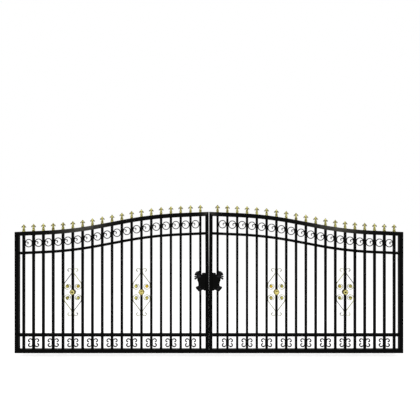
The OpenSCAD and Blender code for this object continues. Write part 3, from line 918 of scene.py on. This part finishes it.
class Tree:
    """A node tree, with short calls for the nodes that are used here."""

    def __init__(self, owner):
        owner.use_nodes = True
        self.nodes = owner.node_tree.nodes
        self.links = owner.node_tree.links
        self.coords = None

    def put(self, value, socket):
        """Set a socket to a plain value, or link another node's output to it."""
        if isinstance(value, (int, float, tuple)):
            socket.default_value = value
        else:
            self.links.new(value, socket)

    def noise(self, scale, detail=3.0, rough=0.55):
        n = self.nodes.new("ShaderNodeTexNoise")
        n.inputs["Scale"].default_value = scale
        n.inputs["Detail"].default_value = detail
        n.inputs["Roughness"].default_value = rough
        if self.coords is not None:
            self.links.new(self.coords, n.inputs["Vector"])
        return n.outputs["Fac"]

    def ramp(self, source, *stops):
        n = self.nodes.new("ShaderNodeValToRGB")
        ends = n.color_ramp.elements
        ends[0].position, ends[0].color = stops[0]
        ends[1].position, ends[1].color = stops[-1]
        for place, colour in stops[1:-1]:
            ends.new(place).color = colour
        self.links.new(source, n.inputs["Fac"])
        return n.outputs["Color"]

    def mix(self, factor, a, b):
        n = self.nodes.new("ShaderNodeMix")
        n.data_type = "RGBA"
        self.put(factor, n.inputs["Factor"])
        self.put(a, n.inputs["A"])
        self.put(b, n.inputs["B"])
        return n.outputs["Result"]

    def calc(self, kind, a, b, clamp=False):
        n = self.nodes.new("ShaderNodeMath")
        n.operation = kind
        n.use_clamp = clamp
        self.put(a, n.inputs[0])
        self.put(b, n.inputs[1])
        return n.outputs["Value"]

    def bump(self, height, strength, distance, normal=None):
        n = self.nodes.new("ShaderNodeBump")
        n.inputs["Strength"].default_value = strength
        n.inputs["Distance"].default_value = distance
        self.links.new(height, n.inputs["Height"])
        if normal is not None:
            self.links.new(normal, n.inputs["Normal"])
        return n.outputs["Normal"]

    def value(self, name):
        """A paint value that make() stored on the points."""
        n = self.nodes.new("ShaderNodeAttribute")
        n.attribute_name = name
        return n.outputs["Fac"]

    def shown(self):
        """1 for rays straight from the camera or by way of a mirror or glass, otherwise 0."""
        rays = self.nodes.new("ShaderNodeLightPath").outputs
        indirect = self.calc("MAXIMUM", rays["Is Glossy Ray"], rays["Is Transmission Ray"])
        return self.calc("MAXIMUM", rays["Is Camera Ray"], indirect)


def grey(v):
    """A neutral colour."""
    return (v, v, v, 1.0)


def paint(name):
    """A new material, its tree with textures in the object's own coordinates, and its shader's inputs."""
    m = bpy.data.materials.new(name)
    tree = Tree(m)
    tree.coords = tree.nodes.new("ShaderNodeTexCoord").outputs["Object"]
    return m, tree, tree.nodes["Principled BSDF"].inputs


DUST = (0.09, 0.085, 0.075, 1)
UNDERCOAT = (0.006, 0.006, 0.0062, 1)
FRESH_GOLD = (0.8, 0.57, 0.05, 1)
GOLD_METAL = 0.55
GOLD_LEVEL = 0.2


def black_paint(name, low, high, rough, peel, level, painted_sheen=None):
    """Sprayed black with uneven tone, dust on top faces, orange peel and dull patches; where painted_sheen is given,
    the painted light value lays it on as a painted highlight.
    """
    m, tree, shader = paint(name)
    tone = tree.ramp(tree.noise(9.0, 5.0), (0.32, grey(low)), (0.68, grey(high)))
    split = tree.nodes.new("ShaderNodeSeparateXYZ")
    tree.put(tree.nodes.new("ShaderNodeNewGeometry").outputs["Normal"], split.inputs["Vector"])
    specks = tree.ramp(tree.noise(45.0, 6.0), (0.42, grey(0)), (0.7, grey(0.9)))
    dust = tree.calc("MULTIPLY", tree.calc("SUBTRACT", split.outputs["Z"], 0.55, clamp=True), specks)
    colour = tree.mix(dust, tone, DUST)
    if painted_sheen:
        # painted highlight: the painted_sheen grey, broken by blotches, where the painted light value is set
        blotch = tree.ramp(tree.noise(24.0, 5.0), (0.3, grey(0.45)), (0.65, grey(1)))
        colour = tree.mix(tree.calc("MULTIPLY", tree.value("painted_light"), blotch), colour, painted_sheen)
    tree.put(colour, shader["Base Color"])
    patches = tree.ramp(tree.noise(30.0, 4.0), (0.3, grey(rough - 0.08)), (0.75, grey(rough + 0.12)))
    tree.put(tree.calc("ADD", patches, tree.calc("MULTIPLY", dust, 0.5)), shader["Roughness"])
    fine = tree.bump(tree.noise(620.0, 2.0), peel, 0.0006)
    tree.put(tree.bump(tree.noise(90.0, 3.0), peel * 0.6, 0.002, fine), shader["Normal"])
    tree.put(level, shader["Specular IOR Level"])
    return m


def gilt_paint(name, dark, gold, pale, under, rough, rub=0.0):
    """Gold paint over black, in patches; gilt and painted shade are given on each point, and gilt above 1 is fresher.
    """
    m, tree, shader = paint(name)
    gilt = tree.value("gilt")
    cover = tree.ramp(tree.noise(62.0, 4.0), (0.38, dark), (0.49, gold), (0.62, pale))
    cover = tree.mix(tree.calc("SUBTRACT", gilt, 1.0, clamp=True), cover, FRESH_GOLD)
    spots = tree.noise(210.0, 5.0, 0.65)
    # painted shade: the painted light value darkens hollows toward under, with speckle, and makes them less metallic
    hollow = tree.calc("MULTIPLY", tree.value("painted_light"), tree.calc("ADD", spots, 0.55), clamp=True)
    toned = tree.mix(hollow, cover, under)
    fleck = tree.calc("MULTIPLY", tree.calc("SUBTRACT", spots, 0.5), 0.8)
    amount = tree.calc("ADD", gilt, tree.calc("SUBTRACT", fleck, rub), clamp=True)
    bare, full = (0.05, 0.95) if rub else (0.35, 0.6)
    wear_and_painted_light = tree.ramp(amount, (bare, grey(0)), (full, grey(1)))
    tree.put(tree.mix(wear_and_painted_light, UNDERCOAT, toned), shader["Base Color"])
    metal = tree.calc("SUBTRACT", GOLD_METAL, tree.calc("MULTIPLY", hollow, 0.5))
    tree.put(tree.calc("MULTIPLY", wear_and_painted_light, metal), shader["Metallic"])
    tree.put(tree.ramp(spots, (0.25, grey(rough - 0.08)), (0.75, grey(rough + 0.14))), shader["Roughness"])
    tree.put(tree.bump(tree.noise(480.0, 3.0), 0.22, 0.0008), shader["Normal"])
    tree.put(GOLD_LEVEL, shader["Specular IOR Level"])
    return m


BLACK = black_paint("black_satin_paint", 0.0006, 0.0014, 0.34, 0.10, level=0.03)
# The top rail's paint lays a warm grey painted sheen where the rail's painted light value is set
RAIL = black_paint("black_rail_paint", 0.0006, 0.0014, 0.3, 0.08, level=0.04, painted_sheen=(0.072, 0.069, 0.06, 1))
HINGE = black_paint("black_hinge_paint", 0.001, 0.003, 0.42, 0.16, level=0.05)
# The castings' paint lays a bluish grey painted highlight on the raised relief
CAST = black_paint("black_casting_paint", 0.0006, 0.0016, 0.3, 0.25, level=0.04, painted_sheen=(0.024, 0.024, 0.028, 1))
WELD = black_paint("black_weld_paint", 0.0006, 0.0016, 0.42, 0.2, level=0.03)
GOLD = gilt_paint("antique_gold_paint", (0.13, 0.105, 0.034, 1), (0.46, 0.425, 0.125, 1), (0.75, 0.73, 0.265, 1),
                  under=(0.05, 0.034, 0.01, 1), rough=0.42)
FLOWER = gilt_paint("flower_gold_paint", (0.16, 0.14, 0.03, 1), (0.56, 0.52, 0.13, 1), (0.9, 0.87, 0.32, 1),
                    under=(0.05, 0.038, 0.008, 1), rough=0.4)
BRIGHT = gilt_paint("bright_gold_paint", (0.24, 0.19, 0.03, 1), (0.86, 0.78, 0.28, 1), (1.0, 0.96, 0.48, 1),
                    under=(0.06, 0.046, 0.005, 1), rough=0.36)
RUBBED = gilt_paint("rubbed_gold_paint", (0.42, 0.42, 0.2, 1), (0.62, 0.62, 0.34, 1), (0.82, 0.82, 0.52, 1),
                    under=(0.02, 0.018, 0.01, 1), rough=0.45, rub=0.05)


# Dressing both leaves
BUILDS = (
    ("frame_tubes", frame_tubes, BLACK, "black_paint", ("hinge_stile", "meeting_stile", "bottom_rail")),
    ("cap_rail", cap_rail, RAIL, "black_paint", ("top_rail",)),
    ("inner_rails", inner_rails, BLACK, "black_paint", ("upper_rail", "lower_rail")),
    ("picket_bars", picket_bars, BLACK, "black_paint", ("pickets",)),
    ("weld_beads", weld_beads, WELD, "black_paint", ()),
    ("spear_castings", spears, GOLD, "gold_paint", ("finials",)),
    ("ring_bars", rings, BLACK, "black_paint", ("ring_scrolls",)),
    ("c_scroll_bars", c_scrolls, BLACK, "black_paint", ("base_scrolls",)),
    ("flower_bars", flower_work, RUBBED, "rubbed_black", ("flower_scrolls",)),
    ("rose_castings", rose_heads, FLOWER, "gold_paint", ("roses",)),
    ("rosette_castings", rosette_heads, BRIGHT, "gold_paint", ("rosettes",)),
    ("lock_castings", lock_castings, CAST, "black_casting", ("lock_plates",)),
)
for name, build, coat, slot_name, nodes in BUILDS:
    built = build()
    for side in SIDES:
        make(name, built, side, coat, nodes)

# The hinges stay as the solids are, with joined corners and softened edges
JOIN_WITHIN = 0.00002
EDGE_SOFT = 0.0008
EDGE_ANGLE = math.radians(35)
for name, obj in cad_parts.items():
    if name.endswith("hinge_plate") or name.endswith("hinge_straps"):
        obj.data.materials.clear()
        obj.data.materials.append(HINGE)
        weld = obj.modifiers.new("weld", "WELD")
        weld.merge_threshold = JOIN_WITHIN
        edge = obj.modifiers.new("edge", "BEVEL")
        edge.width = EDGE_SOFT
        edge.segments = 2
        edge.limit_method = "ANGLE"
        edge.angle_limit = EDGE_ANGLE


# Floor, light and camera, in metres
FLOOR_Z = -0.36
FLOOR_X = (-14, 19)
FLOOR_Y = (-14, 16)
FLOOR_GLOW = 0.55
SKY_LIGHT = 0.6
SKY_SHOWN = 1.0
WHITE = (1, 1, 1, 1)
CENTRE_X = MIDDLE_X * MM
FOCAL_PX = 390.6
PICTURE_PX = 420.0
SENSOR = 36.0


def floor_paint():
    """Pale and matt; it glows a little for the rays that are shown, so that it looks white."""
    m = bpy.data.materials.new("pale_floor")
    tree = Tree(m)
    tree.nodes.remove(tree.nodes["Principled BSDF"])
    diffuse = tree.nodes.new("ShaderNodeBsdfDiffuse")
    tree.put(tree.ramp(tree.noise(1.5), (0.0, grey(0.80)), (1.0, grey(0.84))), diffuse.inputs["Color"])
    glow = tree.nodes.new("ShaderNodeEmission")
    tree.put(tree.calc("MULTIPLY", tree.shown(), FLOOR_GLOW), glow.inputs["Strength"])
    both = tree.nodes.new("ShaderNodeAddShader")
    tree.put(diffuse.outputs["BSDF"], both.inputs[0])
    tree.put(glow.outputs["Emission"], both.inputs[1])
    tree.put(both.outputs["Shader"], tree.nodes["Material Output"].inputs["Surface"])
    return m


def studio():
    """An even white sky that lights the part softly and is shown as plain white."""
    world = bpy.data.worlds.new("studio")
    tree = Tree(world)
    soft = tree.nodes["Background"]
    plain = tree.nodes.new("ShaderNodeBackground")
    for sky, strength in ((soft, SKY_LIGHT), (plain, SKY_SHOWN)):
        tree.put(WHITE, sky.inputs["Color"])
        tree.put(strength, sky.inputs["Strength"])
    pick = tree.nodes.new("ShaderNodeMixShader")
    tree.put(tree.shown(), pick.inputs["Fac"])
    tree.put(soft.outputs["Background"], pick.inputs[1])
    tree.put(plain.outputs["Background"], pick.inputs[2])
    tree.put(pick.outputs["Shader"], tree.nodes["World Output"].inputs["Surface"])
    return world


def lamp(name, at, aim, size, power):
    """A soft box that points at its aim."""
    data = bpy.data.lights.new(name, "AREA")
    data.shape = "RECTANGLE"
    data.size, data.size_y = size
    data.energy = power
    obj = bpy.data.objects.new(name, data)
    obj.location = at
    d = [a - b for a, b in zip(aim, at)]
    flat = math.hypot(d[0], d[1])
    obj.rotation_euler = (math.atan2(flat, -d[2]), 0, math.atan2(d[1], d[0]) - math.pi / 2)
    scene.collection.objects.link(obj)


scene = bpy.context.scene
floor_mesh = bpy.data.meshes.new("floor")
x0, x1, y0, y1 = FLOOR_X + FLOOR_Y
floor_mesh.from_pydata([(x, y, FLOOR_Z) for x, y in ((x0, y0), (x1, y0), (x1, y1), (x0, y1))], [], [(0, 1, 2, 3)])
floor_mesh.materials.append(floor_paint())
floor = bpy.data.objects.new("floor", floor_mesh)
scene.collection.objects.link(floor)
scene.world = studio()

lamp("left_box", (-1.1, -4.4, 4.2), (1.2, 0.0, 0.8), (1.6, 1.0), 90)
lamp("right_box", (6.034, -4.4, 4.2), (3.734, 0.0, 0.8), (1.6, 1.0), 90)
lamp("top_box", (CENTRE_X, -0.8, 5.5), (CENTRE_X, 0.0, 0.5), (5.0, 2.5), 60)

camera = bpy.data.cameras.new("camera")
camera.sensor_width = SENSOR
camera.lens = FOCAL_PX / PICTURE_PX * SENSOR
camera.shift_x = 0.0025
camera.shift_y = 0.0448
camera.clip_end = 100.0
camera_obj = bpy.data.objects.new("camera", camera)
camera_obj.location = (CENTRE_X, -4.994, 1.26)
camera_obj.rotation_euler = (math.radians(90), 0, 0)
scene.collection.objects.link(camera_obj)
scene.camera = camera_obj
scene.view_settings.view_transform = "Standard"
